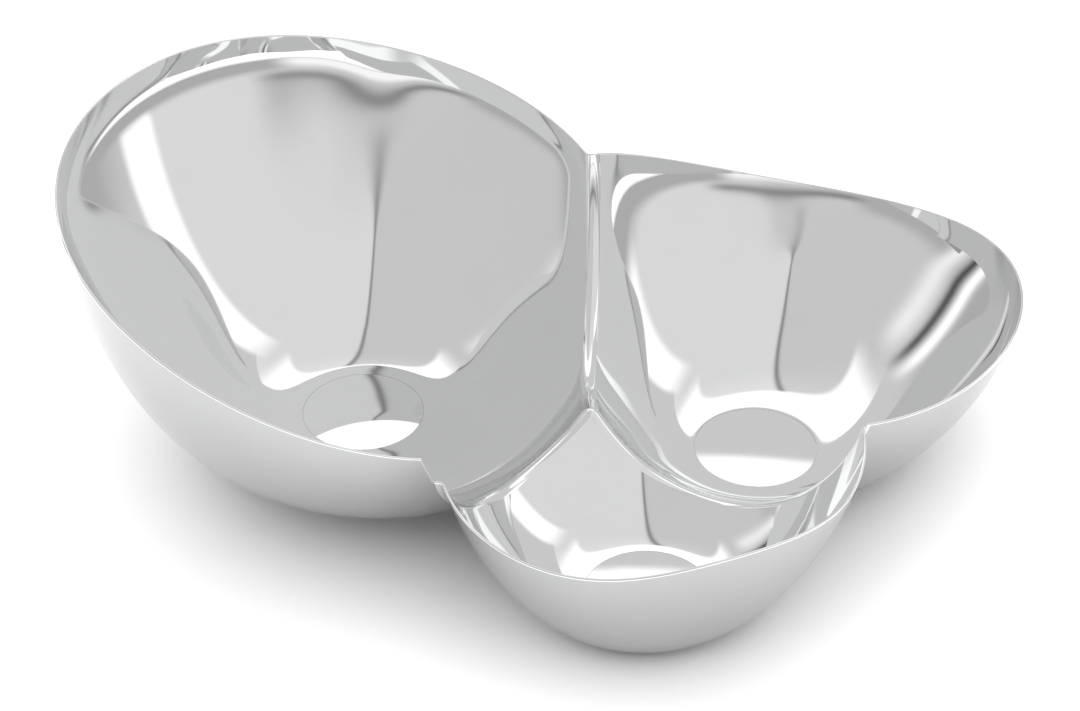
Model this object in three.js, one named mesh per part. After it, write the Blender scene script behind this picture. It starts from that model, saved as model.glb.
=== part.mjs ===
// Chip and dip bowl: three pressed sheet-metal bowls that run into one another along rounded ridges.
// Millimetres, +Z up. The finished group stands on z = 0 with its outline centred on the origin.
import * as THREE from "three";

// Sheet, floor discs and joints
const SHEET = 1.2; // thickness of the metal
const BASE_RADIUS = 26.5; // flat disc in the floor of every bowl
const SEAM_RADIUS = 4; // rounding along the ridges between two bowls
const CORNER_ROUNDING = 9; // rounding of the large rim where it drops to the small bowl
const GAP = 0.3; // clearance between neighbouring pieces

// Large bowl: floor disc centre, rim outline about that centre, rim height above the floor.
// A rim term with a direction is largest at that azimuth, in degrees from +X towards +Y.
const LARGE_X = -80.6;
const LARGE_Y = 43.8;
const LARGE_RADIUS = 121.2;
const LARGE_SHIFT_X = -0.8;
const LARGE_SHIFT_Y = -9.6;
const LARGE_OVAL = 4.5;
const LARGE_OVAL_AT = 89.6;
const LARGE_HEIGHT = 107.2;
const LARGE_TILT = 30.9;
const LARGE_TILT_AT = 154.6;
const LARGE_SADDLE = 6;
const LARGE_SADDLE_AT = 33.3;
const LARGE_RIPPLE = 2.3;
const LARGE_RIPPLE_AT = 4.3;
const LARGE_FULLNESS = 0.853;
const LARGE_ROUNDNESS = 2.09;

// Medium bowl
const MEDIUM_X = 90;
const MEDIUM_Y = 19.2;
const MEDIUM_RADIUS = 99;
const MEDIUM_SHIFT_X = 6.5;
const MEDIUM_SHIFT_Y = 19.1;
const MEDIUM_OVAL = 2.9;
const MEDIUM_OVAL_AT = 28.1;
const MEDIUM_HEIGHT = 79.1;
const MEDIUM_TILT = 15.9;
const MEDIUM_TILT_AT = -177.6;
const MEDIUM_SADDLE = 12.4;
const MEDIUM_SADDLE_AT = -18.4;
const MEDIUM_RIPPLE = 4.7;
const MEDIUM_RIPPLE_AT = 26.7;
const MEDIUM_FULLNESS = 0.802;
const MEDIUM_ROUNDNESS = 1.74;

// Small bowl
const SMALL_X = 40.7;
const SMALL_Y = -74.8;
const SMALL_RADIUS = 80.8;
const SMALL_SHIFT_X = 0.1;
const SMALL_SHIFT_Y = 14.5;
const SMALL_OVAL = 2.4;
const SMALL_OVAL_AT = 23.6;
const SMALL_HEIGHT = 73.9;
const SMALL_TILT = 11.4;
const SMALL_TILT_AT = 59.2;
const SMALL_SADDLE = 7.2;
const SMALL_SADDLE_AT = 78.2;
const SMALL_RIPPLE = 4.1;
const SMALL_RIPPLE_AT = -51.5;
const SMALL_FULLNESS = 0.632;
const SMALL_ROUNDNESS = 1.69;

// Fineness of the meshes
const RIM_COLUMNS = 52;
const RIDGE_COLUMNS = 18;
const WALL_ROWS = 11;
const ARC_STEPS = 5;

const DEGREE = Math.PI / 180;

const large = {
  x: LARGE_X,
  y: LARGE_Y,
  radius: LARGE_RADIUS,
  shiftX: LARGE_SHIFT_X,
  shiftY: LARGE_SHIFT_Y,
  oval: [LARGE_OVAL, LARGE_OVAL_AT],
  height: LARGE_HEIGHT,
  tilt: [LARGE_TILT, LARGE_TILT_AT],
  saddle: [LARGE_SADDLE, LARGE_SADDLE_AT],
  ripple: [LARGE_RIPPLE, LARGE_RIPPLE_AT],
  fullness: LARGE_FULLNESS,
  roundness: LARGE_ROUNDNESS,
};

const medium = {
  x: MEDIUM_X,
  y: MEDIUM_Y,
  radius: MEDIUM_RADIUS,
  shiftX: MEDIUM_SHIFT_X,
  shiftY: MEDIUM_SHIFT_Y,
  oval: [MEDIUM_OVAL, MEDIUM_OVAL_AT],
  height: MEDIUM_HEIGHT,
  tilt: [MEDIUM_TILT, MEDIUM_TILT_AT],
  saddle: [MEDIUM_SADDLE, MEDIUM_SADDLE_AT],
  ripple: [MEDIUM_RIPPLE, MEDIUM_RIPPLE_AT],
  fullness: MEDIUM_FULLNESS,
  roundness: MEDIUM_ROUNDNESS,
};

const small = {
  x: SMALL_X,
  y: SMALL_Y,
  radius: SMALL_RADIUS,
  shiftX: SMALL_SHIFT_X,
  shiftY: SMALL_SHIFT_Y,
  oval: [SMALL_OVAL, SMALL_OVAL_AT],
  height: SMALL_HEIGHT,
  tilt: [SMALL_TILT, SMALL_TILT_AT],
  saddle: [SMALL_SADDLE, SMALL_SADDLE_AT],
  ripple: [SMALL_RIPPLE, SMALL_RIPPLE_AT],
  fullness: SMALL_FULLNESS,
  roundness: SMALL_ROUNDNESS,
};

// A term that goes round the rim `times` times and is largest at its own azimuth.
function term([amount, at], times, azimuth) {
  return amount * Math.cos(times * (azimuth - at * DEGREE));
}

function rimRadius(bowl, azimuth) {
  const shift = bowl.shiftX * Math.cos(azimuth) + bowl.shiftY * Math.sin(azimuth);
  return bowl.radius + shift + term(bowl.oval, 2, azimuth);
}

function rimHeight(bowl, azimuth) {
  const waves = term(bowl.saddle, 2, azimuth) + term(bowl.ripple, 3, azimuth);
  return bowl.height + term(bowl.tilt, 1, azimuth) + waves;
}

// The wall is a quarter superellipse, cut at the rim before it stands upright.
// `share` is the height as a share of the rim height: 0 at the floor, 1 at the rim.
function spreadSquared(bowl, share) {
  const left = Math.max(1 - bowl.fullness * share, 0);
  const leftAtRim = 1 - bowl.fullness;
  return (1 - left ** bowl.roundness) / (1 - leftAtRim ** bowl.roundness);
}

function wallRadius(bowl, azimuth, share) {
  const reach = rimRadius(bowl, azimuth) - BASE_RADIUS;
  return BASE_RADIUS + reach * Math.sqrt(spreadSquared(bowl, share));
}

// A point of the inside face. `climb` runs from 0 at the floor disc to 1 at the rim.
function wallPoint(bowl, azimuth, climb) {
  const share = climb * climb;
  const r = wallRadius(bowl, azimuth, share);
  const z = SHEET + share * rimHeight(bowl, azimuth);
  return new THREE.Vector3(bowl.x + r * Math.cos(azimuth), bowl.y + r * Math.sin(azimuth), z);
}

// Unit normal of the inside face, into the bowl.
function wallNormal(bowl, azimuth, climb) {
  const step = 1e-4;
  const along = wallPoint(bowl, azimuth + step, climb).sub(wallPoint(bowl, azimuth - step, climb));
  const low = Math.max(climb - step, 0);
  const up = wallPoint(bowl, azimuth, climb + step).sub(wallPoint(bowl, azimuth, low));
  return up.cross(along).normalize();
}

// How far a point is outside a bowl's inside face, carried on above the rim: 0 on the face.
function outside(bowl, p) {
  const dx = p.x - bowl.x;
  const dy = p.y - bowl.y;
  const azimuth = Math.atan2(dy, dx);
  const share = (p.z - SHEET) / rimHeight(bowl, azimuth);
  const reach = rimRadius(bowl, azimuth) - BASE_RADIUS;
  const wide = Math.max(Math.hypot(dx, dy) - BASE_RADIUS, 0) / reach;
  return wide * wide - spreadSquared(bowl, share);
}

function outsideGradient(bowl, p) {
  const step = 1e-3;
  const change = (axis) => {
    const ahead = p.clone().addScaledVector(axis, step);
    const behind = p.clone().addScaledVector(axis, -step);
    return (outside(bowl, ahead) - outside(bowl, behind)) / (2 * step);
  };
  const x = change(new THREE.Vector3(1, 0, 0));
  const y = change(new THREE.Vector3(0, 1, 0));
  const z = change(new THREE.Vector3(0, 0, 1));
  return new THREE.Vector3(x, y, z);
}

// Distance from a bowl's inside face, positive in the metal and beyond.
function distance(bowl, p) {
  return outside(bowl, p) / outsideGradient(bowl, p).length();
}

function inwards(bowl, p) {
  return outsideGradient(bowl, p).normalize().negate();
}

// The ridges are rounded by a ball that rolls under two walls and touches both.
// Room that is left between the other bowl and the ball when it touches this wall at a height.
function ballRoom(bowl, other, azimuth, climb) {
  const centre = ballCentre(bowl, azimuth, climb);
  return distance(other, centre) - SEAM_RADIUS;
}

function ballCentre(bowl, azimuth, climb) {
  const normal = wallNormal(bowl, azimuth, climb);
  return wallPoint(bowl, azimuth, climb).addScaledVector(normal, -SEAM_RADIUS);
}

function bisect(low, high, isLow) {
  for (let i = 0; i < 40; i++) {
    const middle = (low + high) / 2;
    if (isLow(middle)) low = middle;
    else high = middle;
  }
  return (low + high) / 2;
}

// The climb at which a wall comes within `room` of the ridge with another bowl.
const CLIMB_END = 1.25;
const CLIMB_STEP = 0.025;

function ridgeClimb(bowl, other, azimuth, room) {
  const free = (climb) => ballRoom(bowl, other, azimuth, climb) > room;
  for (let climb = CLIMB_STEP; climb < CLIMB_END; climb += CLIMB_STEP) {
    if (!free(climb)) return bisect(climb - CLIMB_STEP, climb, free);
  }
  return CLIMB_END;
}

// Smaller of two values, with the corner between them rounded over a width.
function roundedMin(a, b, width) {
  const near = Math.max(width - Math.abs(a - b), 0);
  return Math.min(a, b) - (near * near) / (4 * width);
}

// Centre of the ball that touches all three walls, where the ridges meet.
function tripleCentre(bowls) {
  const p = new THREE.Vector3();
  for (const bowl of bowls) p.add(new THREE.Vector3(bowl.x, bowl.y, bowl.height / 3));
  p.divideScalar(bowls.length);
  for (let i = 0; i < 30; i++) {
    const rows = bowls.map((bowl) => inwards(bowl, p).negate());
    const miss = bowls.map((bowl) => distance(bowl, p) - SEAM_RADIUS);
    const [a, b, c] = rows;
    const jacobian = new THREE.Matrix3().set(a.x, a.y, a.z, b.x, b.y, b.z, c.x, c.y, c.z);
    p.sub(new THREE.Vector3(...miss).applyMatrix3(jacobian.invert()));
  }
  return p;
}

const bowls = [large, medium, small];
const triple = tripleCentre(bowls);

// Azimuth, seen from a bowl, of the point where its wall touches the triple ball.
function tripleAzimuth(bowl) {
  const touch = triple.clone().addScaledVector(inwards(bowl, triple), SEAM_RADIUS);
  return Math.atan2(touch.y - bowl.y, touch.x - bowl.x);
}

// Azimuth at which the ridge with another bowl leaves a wall at the given climb.
// `turn` is +1 or -1: the way round the bowl from the triple point.
function ridgeEnd(bowl, other, turn, climb) {
  const step = 2 * DEGREE;
  const below = (azimuth) => ridgeClimb(bowl, other, azimuth, 0) < climb;
  let azimuth = tripleAzimuth(bowl);
  while (below(azimuth + turn * step)) azimuth += turn * step;
  return bisect(azimuth, azimuth + turn * step, below);
}

function spread(from, to, count, ease) {
  const values = [];
  for (let i = 0; i < count; i++) {
    const t = i / count;
    const eased = ease ? (1 - Math.cos(Math.PI * t)) / 2 : t;
    values.push(from + (to - from) * eased);
  }
  return values;
}

// Closed body from a ring of columns: inside face up, outside face down.
// Every column has the same number of points, and each pair of columns is joined.
function sheetBody(inner, outer) {
  const columns = inner.length;
  const rows = inner[0].length;
  const positions = [];
  for (const face of [inner, outer]) {
    for (const column of face) for (const p of column) positions.push(p.x, p.y, p.z);
  }
  const at = (face, column, row) => (face * columns + (column % columns)) * rows + row;
  const index = [];
  const quad = (a, b, c, d) => index.push(a, b, c, a, c, d);
  for (let i = 0; i < columns; i++) {
    for (let j = 0; j + 1 < rows; j++) {
      quad(at(0, i, j), at(0, i, j + 1), at(0, i + 1, j + 1), at(0, i + 1, j));
      quad(at(1, i, j), at(1, i + 1, j), at(1, i + 1, j + 1), at(1, i, j + 1));
    }
    const top = rows - 1;
    quad(at(0, i, top), at(1, i, top), at(1, i + 1, top), at(0, i + 1, top));
    quad(at(0, i, 0), at(0, i + 1, 0), at(1, i + 1, 0), at(1, i, 0));
  }
  const geometry = new THREE.BufferGeometry();
  geometry.setAttribute("position", new THREE.Float32BufferAttribute(positions, 3));
  geometry.setIndex(index);
  geometry.computeVertexNormals();
  return geometry;
}

// Bowl shell. `after` and `before` are the neighbours met when turning from the triple point
// towards larger and smaller azimuths; `freeCorner` rounds the rim where it drops to `before`.
function bowlGeometry(bowl, after, before, freeCorner) {
  const rounding = freeCorner / rimHeight(bowl, tripleAzimuth(bowl));
  const middle = tripleAzimuth(bowl);
  const end = ridgeEnd(bowl, after, 1, 1);
  const start = ridgeEnd(bowl, before, -1, 1 + rounding);
  const azimuths = [
    ...spread(start, middle, RIDGE_COLUMNS, true),
    ...spread(middle, end, RIDGE_COLUMNS, true),
    ...spread(end, start + 2 * Math.PI, RIM_COLUMNS, false),
  ];
  const inner = [];
  const outer = [];
  for (const azimuth of azimuths) {
    const ahead = ridgeClimb(bowl, after, azimuth, GAP);
    const behind = ridgeClimb(bowl, before, azimuth, GAP);
    const rim = rounding > 0 ? roundedMin(1, behind, rounding) : Math.min(1, behind);
    const top = Math.min(rim, ahead);
    const inside = [];
    const outside = [];
    for (let row = 0; row <= WALL_ROWS; row++) {
      const climb = (top * row) / WALL_ROWS;
      const p = wallPoint(bowl, azimuth, climb);
      inside.push(p);
      outside.push(p.clone().addScaledVector(wallNormal(bowl, azimuth, climb), -SHEET));
    }
    inner.push(inside);
    outer.push(outside);
  }
  return sheetBody(inner, outer);
}

// Direction between two unit vectors, turned evenly about the point they leave from.
function turnBetween(a, b, t) {
  const angle = a.angleTo(b);
  if (angle < 1e-6) return a.clone();
  const keep = Math.sin((1 - t) * angle) / Math.sin(angle);
  const take = Math.sin(t * angle) / Math.sin(angle);
  return a.clone().multiplyScalar(keep).addScaledVector(b, take);
}

// A station of a seam: the ball's centre and the directions in which it touches the two walls.
function seamStation(bowl, other, azimuth) {
  const climb = ridgeClimb(bowl, other, azimuth, 0);
  const centre = ballCentre(bowl, azimuth, climb);
  return { centre, from: wallNormal(bowl, azimuth, climb), to: inwards(other, centre) };
}

// Curved strip over a row of stations, as thick as the sheet, closed at both ends.
function seamGeometry(stations) {
  const half = ARC_STEPS + 1;
  const positions = [];
  for (const { centre, from, to } of stations) {
    for (const radius of [SEAM_RADIUS, SEAM_RADIUS - SHEET]) {
      for (let step = 0; step <= ARC_STEPS; step++) {
        const way = turnBetween(from, to, step / ARC_STEPS);
        const p = centre.clone().addScaledVector(way, radius);
        positions.push(p.x, p.y, p.z);
      }
    }
  }
  const at = (station, under, step) => (station * 2 + under) * half + step;
  const index = [];
  const quad = (a, b, c, d) => index.push(a, b, c, a, c, d);
  for (let i = 0; i + 1 < stations.length; i++) {
    for (let k = 0; k < ARC_STEPS; k++) {
      quad(at(i, 0, k), at(i, 0, k + 1), at(i + 1, 0, k + 1), at(i + 1, 0, k));
      quad(at(i, 1, k), at(i + 1, 1, k), at(i + 1, 1, k + 1), at(i, 1, k + 1));
    }
    quad(at(i, 0, 0), at(i + 1, 0, 0), at(i + 1, 1, 0), at(i, 1, 0));
    quad(at(i, 0, ARC_STEPS), at(i, 1, ARC_STEPS), at(i + 1, 1, ARC_STEPS), at(i + 1, 0, ARC_STEPS));
  }
  const last = stations.length - 1;
  for (let k = 0; k < ARC_STEPS; k++) {
    quad(at(0, 0, k), at(0, 1, k), at(0, 1, k + 1), at(0, 0, k + 1));
    quad(at(last, 0, k), at(last, 0, k + 1), at(last, 1, k + 1), at(last, 1, k));
  }
  const geometry = new THREE.BufferGeometry();
  geometry.setAttribute("position", new THREE.Float32BufferAttribute(positions, 3));
  geometry.setIndex(index);
  geometry.computeVertexNormals();
  return geometry;
}

// Seam along the ridge of two bowls, from the rim or the triple point, by rising azimuth of `bowl`.
function ridgeStations(bowl, other, turn, clear) {
  const near = tripleAzimuth(bowl) + (turn * clear) / Math.hypot(triple.x - bowl.x, triple.y - bowl.y);
  const far = ridgeEnd(bowl, other, turn, 1);
  const azimuths = [...spread(near, far, RIDGE_COLUMNS, true), far];
  if (turn < 0) azimuths.reverse();
  return azimuths.map((azimuth) => seamStation(bowl, other, azimuth));
}

// The tip that closes the three-way meeting: the ball itself, narrowing towards the third wall.
function tipStations(bowl, other, third) {
  const last = inwards(third, triple);
  return [0.35, 0.7, 0.96].map((t) => ({
    centre: triple,
    from: turnBetween(inwards(bowl, triple), last, t).normalize(),
    to: turnBetween(inwards(other, triple), last, t).normalize(),
  }));
}

function polishedSteel() {
  return new THREE.MeshStandardMaterial({ color: 0xd6d7d8, metalness: 1, roughness: 0.06 });
}

const dish = new THREE.Group();
dish.name = "chip_and_dip_bowl";

function add(name, geometry) {
  const mesh = new THREE.Mesh(geometry, polishedSteel());
  mesh.name = name;
  dish.add(mesh);
  return mesh;
}

function addBase(name, bowl) {
  const radius = BASE_RADIUS - GAP;
  const disc = new THREE.CylinderGeometry(radius, radius, SHEET, 64).rotateX(Math.PI / 2);
  add(name, disc).position.set(bowl.x, bowl.y, SHEET / 2);
}

add("large_bowl", bowlGeometry(large, medium, small, CORNER_ROUNDING));
add("medium_bowl", bowlGeometry(medium, small, large, 0));
add("small_bowl", bowlGeometry(small, large, medium, 0));

const crest = ridgeStations(medium, large, -1, 0);
add("large_medium_seam", seamGeometry([...crest, ...tipStations(medium, large, small)]));
add("large_small_seam", seamGeometry(ridgeStations(small, large, 1, 2 * GAP)));
add("medium_small_seam", seamGeometry(ridgeStations(small, medium, -1, 2 * GAP)));

addBase("large_base", large);
addBase("medium_base", medium);
addBase("small_base", small);

// Centre the outline on the origin.
const outline = new THREE.Box3().setFromObject(dish).getCenter(new THREE.Vector3());
for (const mesh of dish.children) {
  mesh.position.x -= outline.x;
  mesh.position.y -= outline.y;
}

export default dish;
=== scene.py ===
"""Chip and dip bowl: three mirror-polished steel lobes that run into one another along rounded ridges."""

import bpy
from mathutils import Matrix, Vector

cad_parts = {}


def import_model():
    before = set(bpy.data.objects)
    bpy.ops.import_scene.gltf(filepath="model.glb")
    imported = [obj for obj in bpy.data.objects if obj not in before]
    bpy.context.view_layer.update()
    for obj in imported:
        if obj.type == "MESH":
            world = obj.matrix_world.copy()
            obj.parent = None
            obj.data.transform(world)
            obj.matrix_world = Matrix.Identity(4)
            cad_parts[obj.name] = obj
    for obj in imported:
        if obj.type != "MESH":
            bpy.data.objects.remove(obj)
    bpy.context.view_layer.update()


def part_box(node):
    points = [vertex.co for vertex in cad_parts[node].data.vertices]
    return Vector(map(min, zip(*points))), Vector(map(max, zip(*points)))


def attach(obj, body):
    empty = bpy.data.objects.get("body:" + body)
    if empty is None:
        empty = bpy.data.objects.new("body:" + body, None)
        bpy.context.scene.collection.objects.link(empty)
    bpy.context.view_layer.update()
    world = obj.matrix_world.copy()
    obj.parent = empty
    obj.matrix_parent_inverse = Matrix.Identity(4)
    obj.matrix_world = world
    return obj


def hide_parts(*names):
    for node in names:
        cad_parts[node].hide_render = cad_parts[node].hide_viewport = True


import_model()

import copy
import math

import bpy
import numpy as np
from mathutils import Vector

bl_info = {
    "name": "Chip and dip bowl",
    "version": (1, 0, 0),
    "blender": (4, 5, 0),
    "location": "3D View > Sidebar > Bowl",
    "description": "Builds a polished serving bowl of three joined lobes and its studio stage",
    "category": "Add Mesh",
}

MM = 0.001
TURN = 2 * math.pi

# Fineness of the meshes
RIM_COLUMNS = 264
RIDGE_COLUMNS = 96
CORNER_COLUMNS = 40
INNER_ROWS = 88
OUTER_ROWS = 56
EDGE_STEPS = 10
ARC_STEPS = 20
TRIPLE_STEPS = 8
DISC_SIDES = 256
DISC_LAYERS = 24
DISC_RINGS = 32

# Share of a ridge's arc that is tucked under the walls on both sides
TUCK = 0.02

# Least climb towards the edge of a rim, and the bulge of an edge that a ridge covers
LEAST_CLIMB = 0.02
COVERED_BULGE = 0.02

# How far round the large lobe the drop of its rim is still felt
DROP_REACH = math.radians(12)

# Where the mirror's straighter wall fades: sine of the azimuth, and distance from a ridge
BACK_FADE = (-0.4, -0.05)
RIDGE_FADE = 25 * MM

# Roundness of the straighter wall
MIRROR_ROUNDNESS = 2.0
UPWARDS = np.array([0.0, 0.0, 1.0])

# Rise of each floor disc's middle, in times the common rise
DISC_RISE = {"large": 5.0, "medium": 1.0, "small": 1.0}

# Bend beyond which an edge of a floor disc is shaded crisp, in radians
CRISP_BEND = 0.2

# Lumps per metre of the wipe lines along X, Y and Z
WALL_GRAIN = (40, 40, 900)
RIDGE_GRAIN = (500, 500, 500)
DISC_GRAIN = (700, 40, 40)

# Lumps per metre of the steel's clouds, hand marks and waves, and the height of the waves
CLOUDS = 14.0
MARKS = 55.0
WAVES = 30.0
WAVE_HEIGHT = 0.01 * MM

# Noise at which hand marks and wipe lines start, and at which they are full
MARKS_SHOW = (0.52, 0.78)
WIPES_SHOW = (0.45, 0.8)

# What clouds, marks and lines do: shares of the dull tint, its brightness, and added roughness
CLOUD_TINT = 0.6
MARK_TINT = 0.3
WIPE_TINT = 0.1
DULL = 0.955
MARK_ROUGHNESS = 0.018
WIPE_ROUGHNESS = 0.012

# Studio floor, camera and lamp, in metres; the picture's width is in millimetres
FLOOR_REACH = 6.0
FLOOR_HEIGHT = -0.2 * MM
PICTURE_WIDTH = 36.0
CAMERA_REACH = 50.0
LAMP_WIDTH = 5.0
LAMP_PLACE = (-0.3, 0.3, 2.2)

# Times that the lobes may mirror one another
MIRROR_BOUNCES = 48

# Studio light by direction: X is to the right, Y away from the camera and Z up. The pairs say
# where a change starts and ends, or, for a line or a band, where its middle is and how wide it is.
GAP_EDGES = (-0.03, 0.03)
GAP_WIDTH = 0.016
GAP_DEPTH = 0.6
FUNNEL_WIDTH = 0.5
FUNNEL_TOP = (0.25, 0.65)
FUNNEL_BACK = (-0.5, -0.2)
BACK_RISE = (0.2, 0.7)
BACK_GAIN = 0.12
WALL_FRONT = (0.12, 0.3)
WALL_TOP = (0.641, 0.653)
STRIP_TOP = (0.82, 0.85)
STRIP_ENDS = (0.4, 0.6)
FRONT_BACK = (-0.8, -0.5)
FRONT_TOP = (0.25, 0.6)
FRONT_RIGHT = (0.15, 0.45)
FRONT_RELIEF = 0.8
AHEAD = (-0.75, -0.55)
DARK_LINE = (0.23, 0.06)
DARK_LINE_DEPTH = 0.55
HORIZON_TOP = (0.05, 0.14)
HORIZON_LIGHT = 1.1
SHADE_RIGHT = (-0.75, -0.5)
SHADE_TOP = (0.3, 0.55)
WINDOW_LEFT = (0.6, 0.8)
WINDOW_FRONT = (0.05, 0.12)
WINDOW_BACK = (0.29, 0.36)
SILL_LEFT = (0.5, 0.7)
SILL_TOP = (0.1, 0.2)
BANDS_RIGHT = (-0.75, -0.6)
PALE_BAND = (0.27, 0.08)
PALE_LIGHT = 1.0
WHITE_BAND = (0.52, 0.04)
DARK_BAND = (0.43, 0.035)
DARK_BAND_DEPTH = 0.8


# Settings


def length(name, description, millimetres):
    """A length that the user can change, in metres, given here in millimetres."""
    return bpy.props.FloatProperty(
        name=name,
        description=description,
        default=millimetres * MM,
        unit="LENGTH",
        subtype="DISTANCE",
        precision=4,
    )


def angle(name, description, degrees):
    """A direction about the vertical, from +X towards +Y."""
    return bpy.props.FloatProperty(
        name=name,
        description=description,
        default=math.radians(degrees),
        unit="ROTATION",
        subtype="ANGLE",
    )


def number(name, description, value, low=0.0, high=10.0):
    """A plain number."""
    return bpy.props.FloatProperty(
        name=name, description=description, default=value, min=low, max=high, precision=3
    )


def colour(name, description, value):
    """A colour, in linear light."""
    return bpy.props.FloatVectorProperty(
        name=name, description=description, default=value, subtype="COLOR", size=3, min=0.0, max=1.0
    )


def disc_size(node):
    """Radius and thickness of a floor disc of the frame, in millimetres."""
    low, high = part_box(node)
    return (high.x - low.x) / 2 / MM, (high.z - low.z) / MM


def disc_centre(node):
    """Centre of a floor disc of the frame, in millimetres."""
    low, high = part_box(node)
    return (low.x + high.x) / 2 / MM, (low.y + high.y) / 2 / MM


def lobe_settings(label, node, **sizes):
    """A property group for one lobe, with its floor disc's centre taken from the frame."""
    x, y = disc_centre(node)
    fields = {
        "x": length("Floor X", "Centre of the floor disc along X", x),
        "y": length("Floor Y", "Centre of the floor disc along Y", y),
        "radius": length("Rim radius", "Mean radius of the rim", sizes["radius"]),
        "shift_x": length("Rim shift X", "Rim outline moved along X", sizes["shift"][0]),
        "shift_y": length("Rim shift Y", "Rim outline moved along Y", sizes["shift"][1]),
        "oval": length("Rim oval", "How far the outline is from round", sizes["oval"][0]),
        "oval_at": angle("Oval direction", "Long way of the oval", sizes["oval"][1]),
        "height": length("Rim height", "Mean height of the rim", sizes["height"]),
        "tilt": length("Rim tilt", "Rise of the rim to one side", sizes["tilt"][0]),
        "tilt_at": angle("Tilt direction", "Side that rises", sizes["tilt"][1]),
        "saddle": length("Rim saddle", "Rise of the rim on two sides", sizes["saddle"][0]),
        "saddle_at": angle("Saddle direction", "Line of the rising sides", sizes["saddle"][1]),
        "ripple": length("Rim ripple", "Rise of the rim on three sides", sizes["ripple"][0]),
        "ripple_at": angle("Ripple direction", "First rising side", sizes["ripple"][1]),
        "fullness": number("Fullness", "How near the wall comes to upright", sizes["fullness"]),
        "roundness": number("Roundness", "Exponent of the wall's curve", sizes["roundness"]),
        "mirror": number("Mirror", "Fullness that the mirror shows", sizes["mirror"][0], -5.0),
        "mirror_side": number("Mirror side", "Change to one side", sizes["mirror"][1], -5.0),
        "mirror_at": angle("Mirror direction", "Side of that change", sizes["mirror"][2]),
        "mirror_lift": number("Mirror lift", "Upward lean to that side", sizes["mirror"][3]),
        "mirror_far_lift": number("Far lift", "Upward lean opposite", sizes["mirror"][4]),
        "mirror_rim": number("Mirror rim", "Return to the wall at the rim", sizes["rim"][0]),
        "mirror_top": number("Mirror top", "Climb where that return starts", sizes["rim"][1]),
        "dip": number("Dip", "Downward lean of a dip below the rim", sizes["dip"][0]),
        "dip_at": angle("Dip direction", "Where the dip is", sizes["dip"][1]),
        "dip_width": angle("Dip width", "Half width of the dip", sizes["dip"][2]),
        "dip_from": number("Dip start", "Climb where the dip starts", sizes["dip"][3]),
        "dip_full": number("Dip full", "Climb where the dip is full", sizes["dip"][4]),
    }
    return type(label, (bpy.types.PropertyGroup,), {"__annotations__": fields})


LargeLobeSettings = lobe_settings(
    "LargeLobeSettings",
    "large_base",
    radius=121.2,
    shift=(-0.8, -9.6),
    oval=(4.5, 89.6),
    height=107.2,
    tilt=(30.9, 154.6),
    saddle=(6.0, 33.3),
    ripple=(2.3, 4.3),
    fullness=0.853,
    roundness=2.09,
    mirror=(-0.6, -1.8, 10.0, 0.25, 0.25),
    rim=(0.9, 0.9),
    dip=(0.18, 86.0, 10.0, 0.75, 1.0),
)
MediumLobeSettings = lobe_settings(
    "MediumLobeSettings",
    "medium_base",
    radius=99.0,
    shift=(6.5, 19.1),
    oval=(2.9, 28.1),
    height=79.1,
    tilt=(15.9, -177.6),
    saddle=(12.4, -18.4),
    ripple=(4.7, 26.7),
    fullness=0.802,
    roundness=1.74,
    mirror=(-0.6, 0.0, 0.0, 0.0, 0.0),
    rim=(0.9, 0.8),
    dip=(0.36, 80.0, 13.0, 0.45, 0.8),
)
SmallLobeSettings = lobe_settings(
    "SmallLobeSettings",
    "small_base",
    radius=80.8,
    shift=(0.1, 14.5),
    oval=(2.4, 23.6),
    height=73.9,
    tilt=(11.4, 59.2),
    saddle=(7.2, 78.2),
    ripple=(4.1, -51.5),
    fullness=0.632,
    roundness=1.69,
    mirror=(-0.3, 0.0, 0.0, 0.0, 0.0),
    rim=(0.0, 0.9),
    dip=(0.0, 0.0, 10.0, 0.9, 1.0),
)


class SheetSettings(bpy.types.PropertyGroup):
    """Sizes that the three lobes share, and the colour of the steel."""

    thickness: length("Sheet", "Thickness of the steel", disc_size("large_base")[1])
    disc_radius: length("Disc opening", "Radius of the opening for a floor disc", 26.5)
    disc_gap: length("Disc line", "Width of the fine line round a floor disc", 0.05)
    disc_dome: length("Disc dome", "Rise of a floor disc's middle", 0.3)
    disc_edge: length("Disc edge", "Rounding of a floor disc's edge", 0.12)
    ridge_radius: length("Ridge rounding", "Rounding along the ridges", 4.0)
    corner: length("Corner rounding", "Rounding where the large rim drops", 9.0)
    steel: colour("Steel", "Colour of the polished steel", (0.85, 0.852, 0.855))
    roughness: number("Roughness", "Roughness of the polish", 0.03, 0.0, 1.0)
    # Outside of the sheet: its roughness is a real satin finish, but its colour is painted shade, kept
    # far darker than the same steel inside so that the floor it mirrors reads darker
    satin: colour("Satin steel", "Colour of the outside, less highly polished", (0.48, 0.482, 0.485))
    satin_roughness: number("Satin roughness", "Roughness of the outside", 0.2, 0.0, 1.0)


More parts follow.
